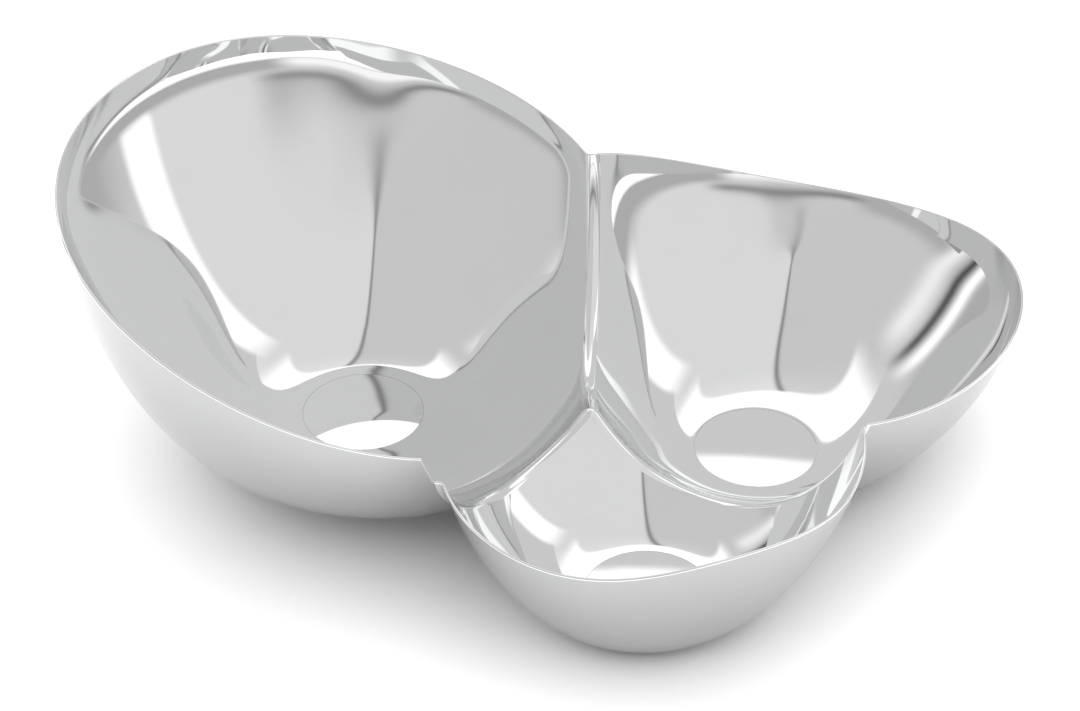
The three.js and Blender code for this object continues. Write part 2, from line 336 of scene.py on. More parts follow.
class StageSettings(bpy.types.PropertyGroup):
    """Where the camera stands and how bright the studio is."""

    target_x: length("Aim X", "Point on the camera's axis, along X", -1.998)
    target_y: length("Aim Y", "Point on the camera's axis, along Y", 76.244)
    target_z: length("Aim Z", "Point on the camera's axis, above the floor", 1.2)
    elevation: angle("Camera height", "How far the camera looks down", 37.59)
    distance: length("Camera distance", "From the camera to the aim point", 1316.06)
    lens: number("Lens", "Focal length for a 36 mm wide picture", 97.486, 10.0, 300.0)
    shift_x: number("Shift X", "Picture moved sideways, in picture widths", -0.00316, -0.1, 0.1)
    shift_y: number("Shift Y", "Picture moved up, in picture widths", -0.00318, -0.1, 0.1)
    left_panel: number("Left panel", "Brightness of the left overhead panel", 0.66)
    right_panel: number("Right panel", "Brightness of the right overhead panel", 0.81)
    backdrop: number("Backdrop", "Brightness of the wall behind", 0.68)
    strip: number("Strip", "Brightness of the white strip above the wall behind", 1.35)
    front: number("Front", "Brightness low down in front", 0.68)
    shade: number("Shade", "Brightness low down on the left", 0.48)
    window: number("Window", "Brightness of the white strip on the right", 1.3)
    lamp: number("Lamp", "Power of the overhead lamp in watts", 134.0, 0.0, 1000.0)
    floor_colour: colour("Floor", "Colour of the floor", (0.9, 0.9, 0.9))


# Wall of a lobe


class Lobe:
    """Inside face of one lobe: a wall that climbs from the floor disc to a wavy rim.

    Azimuths run from +X towards +Y. `climb` is 0 at the floor disc and 1 at the rim,
    and the height is the square of the climb times the rim's height.
    """

    # Steps for slopes: in climb or radians, and in metres
    STEP = 1e-5
    NUDGE = 1e-7

    def __init__(self, settings, sheet):
        for field in settings.__annotations__:
            setattr(self, field, getattr(settings, field))
        self.floor = sheet.thickness
        self.foot = sheet.disc_radius

    def rim_radius(self, azimuth):
        shift = self.shift_x * np.cos(azimuth) + self.shift_y * np.sin(azimuth)
        return self.radius + shift + self.oval * np.cos(2 * (azimuth - self.oval_at))

    def rim_height(self, azimuth):
        tilt = self.tilt * np.cos(azimuth - self.tilt_at)
        saddle = self.saddle * np.cos(2 * (azimuth - self.saddle_at))
        return self.height + tilt + saddle + self.ripple * np.cos(3 * (azimuth - self.ripple_at))

    def spread(self, share):
        """Square of how far out the wall is at a share of the rim's height."""
        left = np.maximum(1 - self.fullness * share, 0)
        return (1 - left**self.roundness) / (1 - (1 - self.fullness) ** self.roundness)

    def point(self, azimuth, climb):
        share = climb * climb
        r = self.foot + (self.rim_radius(azimuth) - self.foot) * np.sqrt(self.spread(share))
        z = self.floor + share * self.rim_height(azimuth)
        return np.stack([self.x + r * np.cos(azimuth), self.y + r * np.sin(azimuth), z], -1)

    def slope(self, azimuth, climb):
        """Change of the point with the climb."""
        low = np.maximum(climb - self.STEP, 0)
        high = climb + self.STEP
        ahead = self.point(azimuth, high) - self.point(azimuth, low)
        return ahead / (high - low)[..., None]

    def normal(self, azimuth, climb):
        """Unit normal, into the lobe."""
        along = self.point(azimuth + self.STEP, climb) - self.point(azimuth - self.STEP, climb)
        return unit(np.cross(self.slope(azimuth, climb), along))

    def mirrored(self, azimuth, climb):
        """Unit normal of the straighter wall that the mirror shows at the back, dip and all."""
        twin = copy.copy(self)
        across = np.cos(azimuth - self.mirror_at)
        twin.fullness = self.mirror + self.mirror_side * np.maximum(across, 0.0) ** 2
        twin.roundness = MIRROR_ROUNDNESS
        lift = np.where(across > 0, self.mirror_lift, self.mirror_far_lift) * across**2
        dip = np.exp((np.cos(azimuth - self.dip_at) - 1) * 2 / self.dip_width**2)
        lift = lift - self.dip * dip * ramp(climb, self.dip_from, self.dip_full)
        shown = unit(twin.normal(azimuth, climb) + UPWARDS * lift[..., None])
        share = ramp(np.sin(azimuth), *BACK_FADE)
        share = share * (1 - self.mirror_rim * ramp(climb, self.mirror_top, 1.0))
        return blended(self.normal(azimuth, climb), shown, share)

    def outside(self, p):
        """0 on the wall, positive beyond it; the wall is carried on above the rim."""
        dx = p[..., 0] - self.x
        dy = p[..., 1] - self.y
        azimuth = np.arctan2(dy, dx)
        share = (p[..., 2] - self.floor) / self.rim_height(azimuth)
        reach = self.rim_radius(azimuth) - self.foot
        wide = np.maximum(np.hypot(dx, dy) - self.foot, 0) / reach
        return wide * wide - self.spread(share)

    def gradient(self, p):
        parts = []
        for axis in np.eye(3) * self.NUDGE:
            parts.append((self.outside(p + axis) - self.outside(p - axis)) / (2 * self.NUDGE))
        return np.stack(parts, -1)

    def distance(self, p):
        """About how far a point is beyond the wall; negative inside the lobe."""
        size = np.linalg.norm(self.gradient(p), axis=-1)
        return self.outside(p) / np.maximum(size, 1e-9)

    def inwards(self, p):
        """Unit direction from a point into the lobe."""
        return -unit(self.gradient(p))


def ramp(value, low, high):
    """0 below low, 1 above high, with a smooth rise between."""
    share = np.clip((value - low) / (high - low), 0, 1)
    return share * share * (3 - 2 * share)


def blended(a, b, share):
    """Unit directions from a, where the share is 0, to b, where it is 1."""
    share = share[..., None]
    return unit(a * (1 - share) + b * share)


def unit(v):
    """The same directions with a length of 1."""
    return v / np.maximum(np.linalg.norm(v, axis=-1, keepdims=True), 1e-12)


# Ridges between lobes


class Joints:
    """The ridges of the three lobes, rounded by a ball that rolls under two walls at once."""

    # Search for a ridge up a wall, and for the end of a ridge round a lobe
    CLIMB_END = 1.25
    CLIMB_STEP = 0.025
    HALVINGS = 40
    SWEEP = math.radians(160)
    SWEEP_STEPS = 81
    SWEEPS = 5

    # Rounds that settle the ball under three walls
    ROUNDS = 30

    def __init__(self, large, medium, small, sheet):
        self.lobes = {"large": large, "medium": medium, "small": small}
        self.after = {"large": "medium", "medium": "small", "small": "large"}
        self.before = {"large": "small", "medium": "large", "small": "medium"}
        self.radius = sheet.ridge_radius
        self.sheet = sheet.thickness
        self.corner = sheet.corner
        self.triple = self.triple_centre()

    def ball(self, lobe, azimuth, climb):
        """Centre of the ball that touches a wall from below."""
        return lobe.point(azimuth, climb) - self.radius * lobe.normal(azimuth, climb)

    def room(self, lobe, other, azimuth, climb):
        """Space that is left between that ball and another wall."""
        return other.distance(self.ball(lobe, azimuth, climb)) - self.radius

    def ridge_climb(self, lobe, other, azimuth):
        """Climb at which a wall reaches the ridge with another lobe, for many azimuths."""
        azimuth = np.asarray(azimuth, float)
        climbs = np.arange(self.CLIMB_STEP, self.CLIMB_END, self.CLIMB_STEP)
        tries = [self.room(lobe, other, azimuth, np.full_like(azimuth, c)) for c in climbs]
        blocked = np.stack(tries, 0) <= 0
        hit = blocked.any(0)
        first = blocked.argmax(0)
        low = np.where(hit, climbs[first] - self.CLIMB_STEP, self.CLIMB_END)
        high = np.where(hit, climbs[first], self.CLIMB_END)
        for _ in range(self.HALVINGS):
            middle = (low + high) / 2
            free = self.room(lobe, other, azimuth, middle) > 0
            low = np.where(free, middle, low)
            high = np.where(free, high, middle)
        return np.where(hit, (low + high) / 2, self.CLIMB_END)

    def triple_centre(self):
        """Centre of the ball that touches all three walls."""
        lobes = list(self.lobes.values())
        p = np.mean([[lobe.x, lobe.y, lobe.height / 3] for lobe in lobes], 0)
        for _ in range(self.ROUNDS):
            rows = np.array([-lobe.inwards(p) for lobe in lobes])
            miss = np.array([lobe.distance(p) - self.radius for lobe in lobes])
            p = p - np.linalg.solve(rows, miss)
        return p

    def triple_azimuth(self, lobe):
        """Azimuth at which the ball under all three walls touches one of them."""
        touch = self.triple + self.radius * lobe.inwards(self.triple)
        return math.atan2(touch[1] - lobe.y, touch[0] - lobe.x)

    def ridge_end(self, lobe, other, turn, climb):
        """Azimuth at which a ridge leaves a wall at a climb, going `turn` from the triple point."""
        low = self.triple_azimuth(lobe)
        high = low + turn * self.SWEEP
        for _ in range(self.SWEEPS):
            azimuth = np.linspace(low, high, self.SWEEP_STEPS)
            past = self.ridge_climb(lobe, other, azimuth) >= climb
            first = int(past.argmax())
            low, high = azimuth[first - 1], azimuth[first]
        return (low + high) / 2

    def rim_climb(self, lobe, azimuth):
        """Climb at which the round edge of the rim starts, half a sheet below the rim."""
        azimuth = np.asarray(azimuth, float)
        rise = np.linalg.norm(lobe.slope(azimuth, np.ones_like(azimuth)), axis=-1)
        return 1 - self.sheet / 2 / rise

    def station(self, lobe, other, azimuth):
        """Ball centres along a ridge, and the directions in which they touch the two walls."""
        climb = self.ridge_climb(lobe, other, azimuth)
        centre = self.ball(lobe, azimuth, climb)
        return centre, lobe.normal(azimuth, climb), other.inwards(centre)


def eased(start, stop, count):
    """Values from start up to, but not including, stop, close together at both ends."""
    t = np.arange(count) / count
    return start + (stop - start) * (1 - np.cos(math.pi * t)) / 2


def rounded_min(a, b, width):
    """The smaller of two values, with a smooth change where they cross."""
    near = np.maximum(width - np.abs(a - b), 0)
    return np.minimum(a, b) - near * near / (4 * width)


# Meshes


class Skin:
    """Collects quads and the normal of each corner, and makes one closed mesh of them."""

    def __init__(self):
        self.points = []
        self.count = 0
        self.faces = []
        self.normals = []
        self.kinds = []

    def add(self, points):
        """Adds a grid of points and returns the grid of their numbers."""
        points = np.asarray(points, float)
        numbers = np.arange(points[..., 0].size).reshape(points.shape[:-1]) + self.count
        self.points.append(points.reshape(-1, 3))
        self.count += numbers.size
        return numbers

    def cover(self, numbers, normals, closed=False, flip=False, kind=0):
        """Quads over a grid of point numbers, with a grid of normals for their corners."""
        if closed:
            numbers = np.concatenate([numbers, numbers[:1]], 0)
            normals = np.concatenate([normals, normals[:1]], 0)
        order = ((0, 0), (0, 1), (1, 1), (1, 0))
        if flip:
            order = order[::-1]
        high, wide = numbers.shape[0] - 1, numbers.shape[1] - 1
        corners = [numbers[i : i + high, j : j + wide].ravel() for i, j in order]
        turned = [normals[i : i + high, j : j + wide].reshape(-1, 3) for i, j in order]
        self.faces.append(np.stack(corners, 1))
        self.normals.append(np.stack(turned, 1))
        self.kinds.append(kind)

    def fan(self, numbers, normal, flip=False):
        """Closes a small flat end with triangles from its first point."""
        for k in range(1, len(numbers) - 1):
            face = [numbers[0], numbers[k], numbers[k + 1], numbers[k + 1]]
            self.faces.append(np.array([face[::-1] if flip else face]))
            self.normals.append(np.repeat(np.asarray(normal)[None, None], 4, 1))
            self.kinds.append(0)

    def finish(self, name, *materials):
        """Makes the object; corners that have run together are left out."""
        points = np.concatenate(self.points)
        faces = np.concatenate(self.faces)
        normals = np.concatenate(self.normals)
        kinds = np.repeat(self.kinds, [len(f) for f in self.faces])
        loops = []
        shading = []
        finishes = []
        for face, corner, kind in zip(faces, normals, kinds):
            keep = [k for k in range(4) if face[k] != face[k - 1]]
            if len(keep) > 2:
                loops.append([int(face[k]) for k in keep])
                shading.extend(corner[k] for k in keep)
                finishes.append(kind)
        mesh = bpy.data.meshes.new(name)
        mesh.from_pydata(points.tolist(), [], loops)
        mesh.polygons.foreach_set("use_smooth", np.ones(len(mesh.polygons), bool))
        mesh.normals_split_custom_set(unit(np.array(shading)).tolist())
        for material in materials:
            mesh.materials.append(material)
        mesh.polygons.foreach_set("material_index", np.array(finishes, np.int32))
        mesh.update()
        return place(bpy.data.objects.new(name, mesh))


def place(obj):
    """Puts an object into the scene."""
    bpy.context.scene.collection.objects.link(obj)
    return obj


def shell_columns(joints, name):
    """Azimuths of a shell's columns, the climb of each column's top, and which tops are free."""
    lobe = joints.lobes[name]
    after = joints.lobes[joints.after[name]]
    before = joints.lobes[joints.before[name]]
    middle = joints.triple_azimuth(lobe)
    rim = float(joints.rim_climb(lobe, middle))
    end = joints.ridge_end(lobe, after, 1, rim)
    if name == "large":
        rounding = joints.corner / float(lobe.rim_height(middle))
        start = joints.ridge_end(lobe, before, -1, 1 + rounding)
        low = drop_azimuth(joints)
        parts = [
            (eased(start, low, CORNER_COLUMNS), True),
            (eased(low, middle, RIDGE_COLUMNS), False),
        ]
    else:
        start = joints.ridge_end(lobe, before, -1, rim)
        parts = [(eased(start, middle, RIDGE_COLUMNS), False)]
    parts.append((eased(middle, end, RIDGE_COLUMNS), False))
    around = end + (start + TURN - end) * np.arange(RIM_COLUMNS) / RIM_COLUMNS
    parts.append((around, True))
    azimuth = np.concatenate([p for p, _ in parts])
    free = np.concatenate([np.full(len(p), f) for p, f in parts])
    if name != "large":
        free[0] = True
    top = np.ones_like(azimuth)
    bound = ~free
    ahead = joints.ridge_climb(lobe, after, azimuth[bound])
    behind = joints.ridge_climb(lobe, before, azimuth[bound])
    top[bound] = np.minimum(ahead, behind)
    if name == "large":
        drop = np.arange(len(azimuth)) < CORNER_COLUMNS
        drop |= azimuth > start + TURN - DROP_REACH
        behind = joints.ridge_climb(lobe, before, azimuth[drop])
        top[drop] = rounded_min(1.0, behind, rounding)
    return azimuth, top, free


def drop_azimuth(joints):
    """Azimuth, seen from the large lobe, at which the small lobe's rim meets it."""
    large, small = joints.lobes["large"], joints.lobes["small"]
    rim = float(joints.rim_climb(small, joints.triple_azimuth(small)))
    azimuth = np.array([joints.ridge_end(small, large, 1, rim)])
    centre, _, touch = joints.station(small, large, azimuth)
    p = (centre + joints.radius * touch)[0]
    return math.atan2(p[1] - large.y, p[0] - large.x)


def shell(joints, name, *materials):
    """Closed sheet of one lobe, with a round rim edge and an opening for its floor disc."""
    lobe = joints.lobes[name]
    sheet = joints.sheet
    azimuth, top, free = shell_columns(joints, name)
    edge = lobe.point(azimuth, top)
    ahead = np.where(np.roll(free, -1)[:, None], np.roll(edge, -1, 0), edge)
    behind = np.where(np.roll(free, 1)[:, None], np.roll(edge, 1, 0), edge)
    run = np.where(free[:, None], ahead - behind, np.roll(edge, -1, 0) - np.roll(edge, 1, 0))
    rise = lobe.slope(azimuth, top)
    facing = lobe.normal(azimuth, top)
    out = unit(np.cross(run, facing))
    out *= np.sign((out * rise).sum(-1, keepdims=True))
    climb_rate = (rise * out).sum(-1)
    top = np.where(free, top - sheet / 2 / np.maximum(climb_rate, LEAST_CLIMB), top)

    rows = np.linspace(0, 1, INNER_ROWS + 1)
    inner_climbs = top[:, None] * rows
    inner_columns = np.repeat(azimuth[:, None], INNER_ROWS + 1, 1)
    inner = lobe.point(inner_columns, inner_climbs)
    inner_normal = lobe.normal(inner_columns, inner_climbs)

    rows = np.linspace(1, 0, OUTER_ROWS + 1)
    climbs = top[:, None] * rows
    columns = np.repeat(azimuth[:, None], OUTER_ROWS + 1, 1)
    outer_normal = -lobe.normal(columns, climbs)
    outer = lobe.point(columns, climbs) + sheet * outer_normal

    skin = Skin()
    inside = skin.add(inner)
    outside = skin.add(outer)
    turn = np.linspace(0, math.pi, EDGE_STEPS + 1)[1:-1]
    facing = inner_normal[:, -1:]
    bulge = np.where(free, 1.0, COVERED_BULGE)[:, None, None]
    spokes = np.cos(turn)[:, None] * facing + bulge * np.sin(turn)[:, None] * out[:, None]
    middle = (inner[:, -1:] + outer[:, :1]) / 2
    round_edge = skin.add(middle + sheet / 2 * spokes)
    band = np.concatenate([inside[:, -1:], round_edge, outside[:, :1]], 1)
    band_normal = np.concatenate([facing, unit(spokes), -facing], 1)
    hole = np.concatenate([outside[:, -1:], inside[:, :1]], 1)
    to_axis = np.stack([-np.cos(azimuth), -np.sin(azimuth), np.zeros_like(azimuth)], -1)
    hole_normal = np.repeat(to_axis[:, None], 2, 1)
    others = (joints.lobes[joints.after[name]], joints.lobes[joints.before[name]])
    apart = np.minimum(*(other.distance(inner) for other in others))
    clear = ramp(apart, 0, RIDGE_FADE)
    shown = blended(inner_normal, lobe.mirrored(inner_columns, inner_climbs), clear)
    skin.cover(inside, shown, closed=True)
    skin.cover(band, band_normal, closed=True)
    skin.cover(outside, outer_normal, closed=True, kind=1)
    skin.cover(hole, hole_normal, closed=True)
    return skin.finish(name + "_bowl_shell", *materials)


def turn_between(a, b, t):
    """Directions on the arc from a to b, for each share in t."""
    full = np.arccos(np.clip((a * b).sum(-1), -1, 1))[:, None, None]
    full = np.maximum(full, 1e-6)
    t = t[None, :, None]
    return unit(np.sin((1 - t) * full) * a[:, None] + np.sin(t * full) * b[:, None])


def ridge(joints, name, other_name, title, material, over_triple=False):
    """Closed strip over the ridge of two lobes, from the triple point out to the rim."""
    lobe, other = joints.lobes[name], joints.lobes[other_name]
    sheet = joints.sheet
    near = joints.triple_azimuth(lobe)
    far = joints.ridge_end(lobe, other, 1, float(joints.rim_climb(lobe, near)))
    azimuth = np.append(eased(near, far, RIDGE_COLUMNS), far)
    centre, start, stop = joints.station(lobe, other, azimuth)
    ahead = unit(centre[-1:] - centre[-2:-1])[:, None]
    if over_triple:
        third = [n for n in joints.lobes if n not in (name, other_name)][0]
        goal = joints.lobes[third].inwards(joints.triple)[None]
        share = np.linspace(1, 0, TRIPLE_STEPS, endpoint=False)
        centre = np.concatenate([np.repeat(joints.triple[None], len(share), 0), centre])
        start = np.concatenate([turn_between(start[:1], goal, share)[0], start])
        stop = np.concatenate([turn_between(stop[:1], goal, share)[0], stop])
    ways = turn_between(start, stop, np.linspace(-TUCK, 1 + TUCK, ARC_STEPS + 1))
    upper = centre[:, None] + joints.radius * ways
    lower = centre[:, None] + (joints.radius - sheet) * ways

    skin = Skin()
    top = skin.add(upper)
    under = skin.add(lower)
    if over_triple:
        top[0] = top[0, 0]
        under[0] = under[0, 0]
    turns = np.linspace(0, math.pi, EDGE_STEPS + 1)[1:-1, None, None]
    spokes = np.cos(turns) * ways[-1] + np.sin(turns) * ahead
    lip = skin.add((upper[-1] + lower[-1]) / 2 + sheet / 2 * spokes)
    skin.cover(top, ways)
    skin.cover(under, -ways, flip=True)
    over = np.concatenate([top[-1:], lip, under[-1:]], 0)
    skin.cover(over, np.concatenate([ways[-1:], spokes, -ways[-1:]], 0))
    across = unit(np.gradient(ways, axis=1))
    for side, sign in ((0, -1), (-1, 1)):
        facing = sign * across[:, side]
        wall = np.stack([top[:, side], under[:, side]], 1)
        skin.cover(wall, np.repeat(facing[:, None], 2, 1), flip=side == 0)
        cap = np.concatenate([top[-1:, side], lip[:, side], under[-1:, side]])
        skin.fan(cap, facing[-1], flip=side != 0)
    back = np.repeat(unit(centre[0] - centre[-1])[None, None], 2, 0)
    skin.cover(np.stack([top[0], under[0]]), np.repeat(back, ARC_STEPS + 1, 1), flip=True)
    return skin.finish(title, material)


# Node trees


class Graph:
    """A node tree that is filled from Python."""

    def __init__(self, tree):
        self.tree = tree
        tree.nodes.clear()

    def node(self, kind, settings=None, sockets=None):
        """Adds a node: its settings first, then values or links for its sockets."""
        node = self.tree.nodes.new(kind)
        for key, value in (settings or {}).items():
            setattr(node, key, value)
        for key, value in (sockets or {}).items():
            if isinstance(value, Value):
                self.tree.links.new(value.socket, node.inputs[key])
            else:
                node.inputs[key].default_value = value
        return Node(self, node)


class Node:
    """A node whose outputs can be taken by name or by number."""

    def __init__(self, graph, node):
        self.graph = graph
        self.outputs = node.outputs

    def __getitem__(self, key):
        return Value(self.graph, self.outputs[key])


class Value:
    """A socket that can stand in a sum: each operator adds a Math node."""

    def __init__(self, graph, socket):
        self.graph = graph
        self.socket = socket

    def maths(self, operation, *terms):
        """A Math node on the given terms."""
        sockets = dict(enumerate(terms))
        return self.graph.node("ShaderNodeMath", {"operation": operation}, sockets)[0]

    def __add__(self, other):
        return self.maths("ADD", self, other)

    def __radd__(self, other):
        return self.maths("ADD", other, self)

    def __sub__(self, other):
        return self.maths("SUBTRACT", self, other)

    def __rsub__(self, other):
        return self.maths("SUBTRACT", other, self)

    def __mul__(self, other):
        return self.maths("MULTIPLY", self, other)

    def __rmul__(self, other):
        return self.maths("MULTIPLY", other, self)

    def __truediv__(self, other):
        return self.maths("DIVIDE", self, other)

    def __rtruediv__(self, other):
        return self.maths("DIVIDE", other, self)

    def __neg__(self):
        return self.maths("MULTIPLY", self, -1.0)

    def bell(self, middle, width):
        """1 at the middle, falling away on both sides of it."""
        off = (self - middle) / width
        return self.maths("EXPONENT", -(off * off))

    def smooth(self, low, high):
        """0 below low, 1 above high, with a soft change between them."""
        return self.graph.node(
            "ShaderNodeMapRange",
            {"interpolation_type": "SMOOTHSTEP"},
            {"Value": self, "From Min": low, "From Max": high},
        )[0]

    def fall(self, low, high):
        """1 below low, 0 above high, with a soft change between them."""
        return 1.0 - self.smooth(low, high)

    def towards(self, goal, share):
        """This value where the share is 0, and the goal where it is 1."""
        return self + (goal - self) * share


def noise(graph, spot, scale, detail, roughness=0.5):
    """Noise from 0 to 1 whose lumps are about 1 / scale metres wide."""
    return graph.node(
        "ShaderNodeTexNoise",
        None,
        {"Vector": spot, "Scale": scale, "Detail": detail, "Roughness": roughness},
    )[0]


def polished_steel(name, metal, base_roughness, grain):
    """Polished steel: a trace of hand marks, fine wipe lines and a very slight waviness."""
    material = bpy.data.materials.new(name)
    material.use_nodes = True
    graph = Graph(material.node_tree)
    spot = graph.node("ShaderNodeTexCoord")["Object"]
    cloud = noise(graph, spot, CLOUDS, 3.0)
    marks = noise(graph, spot, MARKS, 4.0, 0.6)
    along = graph.node(
        "ShaderNodeMapping", {"vector_type": "POINT"}, {"Vector": spot, "Scale": grain}
    )[0]
    wipes = noise(graph, along, 1.0, 3.0, 0.6)
    worn = marks.smooth(*MARKS_SHOW)
    fine = wipes.smooth(*WIPES_SHOW)
    bright = tuple(metal) + (1.0,)
    dull = tuple(DULL * c for c in metal) + (1.0,)
    share = CLOUD_TINT * cloud + MARK_TINT * worn + WIPE_TINT * fine
    tint = graph.node("ShaderNodeMix", {"data_type": "RGBA"}, {"Factor": share, 6: bright, 7: dull})
    rough = base_roughness + MARK_ROUGHNESS * worn + WIPE_ROUGHNESS * fine
    wave = WAVE_HEIGHT * noise(graph, spot, WAVES, 1.0)
    bump = graph.node("ShaderNodeBump", None, {"Strength": 1.0, "Distance": 1.0, "Height": wave})
    sockets = {
        "Base Color": tint[2],
        "Metallic": 1.0,
        "Roughness": rough,
        "Normal": bump["Normal"],
    }
    steel = graph.node("ShaderNodeBsdfPrincipled", None, sockets)
    graph.node("ShaderNodeOutputMaterial", None, {"Surface": steel[0]})
    return material


def disc_tree():
    """Geometry Nodes tree of a floor disc: a round plate, soft at its edges and slightly domed."""
    tree = bpy.data.node_groups.new("floor_disc", "GeometryNodeTree")
    for name, kind in (
        ("Radius", "NodeSocketFloat"),
        ("Thickness", "NodeSocketFloat"),
        ("Edge", "NodeSocketFloat"),
        ("Dome", "NodeSocketFloat"),
        ("Centre", "NodeSocketVector"),
        ("Material", "NodeSocketMaterial"),
    ):
        tree.interface.new_socket(name, in_out="INPUT", socket_type=kind)
    tree.interface.new_socket("Geometry", in_out="OUTPUT", socket_type="NodeSocketGeometry")
    graph = Graph(tree)
    given = graph.node("NodeGroupInput")
    radius, thick, edge = given["Radius"], given["Thickness"], given["Edge"]
    plate = graph.node(
        "GeometryNodeMeshCylinder",
        {"fill_type": "TRIANGLE_FAN"},
        {
            "Vertices": DISC_SIDES,
            "Side Segments": DISC_LAYERS,
            "Fill Segments": DISC_RINGS,
            "Radius": radius,
            "Depth": thick,
        },
    )
    spot = graph.node("GeometryNodeInputPosition")["Position"]
    split = graph.node("ShaderNodeSeparateXYZ", None, {"Vector": spot})
    x, y, z = split["X"], split["Y"], split["Z"]
    depth = (z.maths("ABSOLUTE", z) - (thick * 0.5 - edge)) / edge
    depth = depth.maths("MAXIMUM", depth, 0.0)
    left = 1.0 - depth * depth
    inset = 1.0 - left.maths("SQRT", left)
    narrow = 1.0 - inset * edge / radius
    share = (x * x + y * y) / (radius * radius)
    dome = given["Dome"] * z.maths("GREATER_THAN", z, 0.0) * (1.0 - share)
    height = z + thick * 0.5 + dome
    moved = graph.node(
        "ShaderNodeCombineXYZ", None, {"X": x * narrow, "Y": y * narrow, "Z": height}
    )
    eased_plate = graph.node(
        "GeometryNodeSetPosition",
        None,
        {"Geometry": plate["Mesh"], "Position": moved[0], "Offset": given["Centre"]},
    )
    smooth = graph.node(
        "GeometryNodeSetShadeSmooth", None, {"Geometry": eased_plate[0], "Shade Smooth": True}
    )
    bend = graph.node("GeometryNodeInputMeshEdgeAngle")["Unsigned Angle"]
    crisp = graph.node(
        "GeometryNodeSetShadeSmooth",
        {"domain": "EDGE"},
        {
            "Geometry": smooth[0],
            "Selection": bend.maths("GREATER_THAN", bend, CRISP_BEND),
            "Shade Smooth": False,
        },
    )
    whole = graph.node("GeometryNodeRealizeInstances", None, {"Geometry": crisp[0]})
    coated = graph.node(
        "GeometryNodeSetMaterial", None, {"Geometry": whole[0], "Material": given["Material"]}
    )
    graph.node("NodeGroupOutput", None, {"Geometry": coated[0]})
    return tree


def grown(name, tree, inputs):
    """Object with the plain mesh that a Geometry Nodes tree makes of the given inputs."""
    seed = bpy.data.objects.new(name + "_seed", bpy.data.meshes.new(name + "_seed"))
    place(seed)
    modifier = seed.modifiers.new("rule", "NODES")
    modifier.node_group = tree
    for item in tree.interface.items_tree:
        if item.in_out == "INPUT":
            modifier[item.identifier] = inputs[item.name]
    seed.data.update()
    evaluated = seed.evaluated_get(bpy.context.evaluated_depsgraph_get())
    mesh = bpy.data.meshes.new_from_object(evaluated)
    mesh.name = name
    seed.modifiers.remove(modifier)
    bpy.data.objects.remove(seed)
    return place(bpy.data.objects.new(name, mesh))


# Operators


def joints_of(scene):
    """The three lobes and their ridges, from the scene's settings."""
    sheet = scene.bowl_sheet
    lobes = [Lobe(s, sheet) for s in (scene.bowl_large, scene.bowl_medium, scene.bowl_small)]
    return Joints(*lobes, sheet)


def settle(obj, node):
    """Gives a finished piece its place in the frame."""
    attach(obj, "root")
    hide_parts(node)


class BOWL_OT_shells(bpy.types.Operator):
    """Build the polished wall of each lobe, with its round rim edge"""

    bl_idname = "bowl.shells"
    bl_label = "Bowl shells"

    def execute(self, context):
        joints = joints_of(context.scene)
        sheet = context.scene.bowl_sheet
        inside = polished_steel("polished_steel", sheet.steel, sheet.roughness, WALL_GRAIN)
        # The outside material carries painted shade: its colour is darker than the same steel on the
        # inside
        outside = polished_steel("satin_steel", sheet.satin, sheet.satin_roughness, WALL_GRAIN)
        for name in joints.lobes:
            settle(shell(joints, name, inside, outside), name + "_bowl")
        return {"FINISHED"}


class BOWL_OT_ridges(bpy.types.Operator):
    """Build the rounded ridges along which the lobes run into one another"""

    bl_idname = "bowl.ridges"
    bl_label = "Ridges"

    def execute(self, context):
        joints = joints_of(context.scene)
        sheet = context.scene.bowl_sheet
        steel = polished_steel("polished_ridge", sheet.steel, sheet.roughness, RIDGE_GRAIN)
        pieces = (
            ("large", "medium", "large_medium", True),
            ("medium", "small", "medium_small", False),
            ("small", "large", "large_small", False),
        )
        for name, other, title, over in pieces:
            obj = ridge(joints, name, other, title + "_ridge", steel, over)
            settle(obj, title + "_seam")
        return {"FINISHED"}


class BOWL_OT_discs(bpy.types.Operator):
    """Build the round disc in the floor of each lobe"""

    bl_idname = "bowl.discs"
    bl_label = "Floor discs"

    def execute(self, context):
        scene = context.scene
        sheet = scene.bowl_sheet
        steel = polished_steel("polished_disc", sheet.steel, sheet.roughness, DISC_GRAIN)
        tree = disc_tree()
        lobes = (
            ("large", scene.bowl_large),
            ("medium", scene.bowl_medium),
            ("small", scene.bowl_small),
        )
        for name, lobe in lobes:
            inputs = {
                "Radius": sheet.disc_radius - sheet.disc_gap,
                "Thickness": sheet.thickness,
                "Edge": sheet.disc_edge,
                "Dome": sheet.disc_dome * DISC_RISE[name],
                "Centre": (lobe.x, lobe.y, 0.0),
                "Material": steel,
            }
            obj = grown(name + "_floor_disc", tree, inputs)
            settle(obj, name + "_base")
        return {"FINISHED"}


class BOWL_OT_stage(bpy.types.Operator):
    """Set the pale floor, the soft studio light and the camera"""

    bl_idname = "bowl.stage"
    bl_label = "Studio stage"

    def execute(self, context):
        scene = context.scene
        stage = scene.bowl_stage
        floor(stage)
        camera(scene, stage)
        world(scene, stage)
        overhead(stage)
        scene.view_settings.view_transform = "Standard"
        scene.cycles.max_bounces = MIRROR_BOUNCES
        scene.cycles.glossy_bounces = MIRROR_BOUNCES
        return {"FINISHED"}


